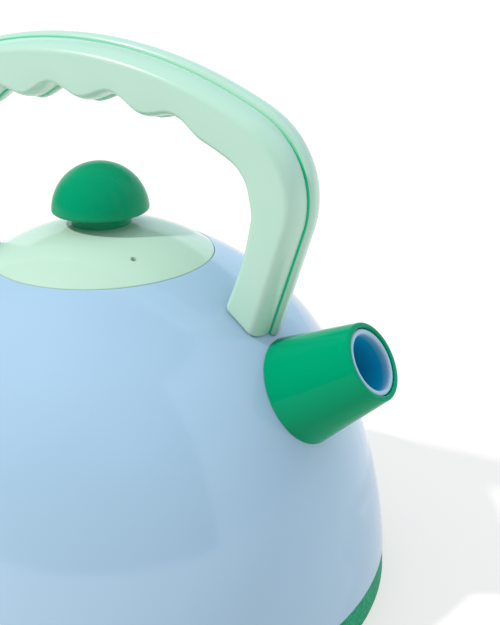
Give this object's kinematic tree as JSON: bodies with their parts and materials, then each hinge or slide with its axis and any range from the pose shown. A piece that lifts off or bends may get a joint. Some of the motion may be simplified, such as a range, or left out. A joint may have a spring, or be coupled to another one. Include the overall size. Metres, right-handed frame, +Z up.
{
  "type": "toy kettle",
  "caption": "Toy kettle for pretend play: domed body on a round base, lift-off lid with a mushroom knob, arched two-part handle with finger hollows, short straight spout.",
  "frame": {"origin": "middle of the flat rest face under the base, on the body's axis", "axes": "+Z up along the body's axis, +X towards the spout, handle in the XZ plane"},
  "size_m": [0.1497, 0.1444, 0.1403],
  "materials": {
    "blue_plastic": "high gloss, pale blue",
    "mint_plastic": "satin, pale mint",
    "green_plastic": "gloss, emerald green",
    "screw_steel": "zinc-plated steel"
  },
  "bodies": {
    "kettle": {"body_shell": "blue_plastic", "base_pan": "green_plastic", "base_screws": "screw_steel", "handle_front": "mint_plastic", "handle_rear": "mint_plastic", "handle_screws": "screw_steel", "foot_screws": "screw_steel", "spout_tube": "blue_plastic", "spout_sleeve": "green_plastic"},
    "lid_assembly": {"lid": "mint_plastic", "lid_knob": "green_plastic", "knob_screw": "screw_steel", "knob_washer": "screw_steel"}
  },
  "joints": [
    {"name": "lid_lift", "type": "slide", "parent": "kettle", "child": "lid_assembly", "axis": [0, 0, 1], "range_m": [0, 0.012]}
  ]
}
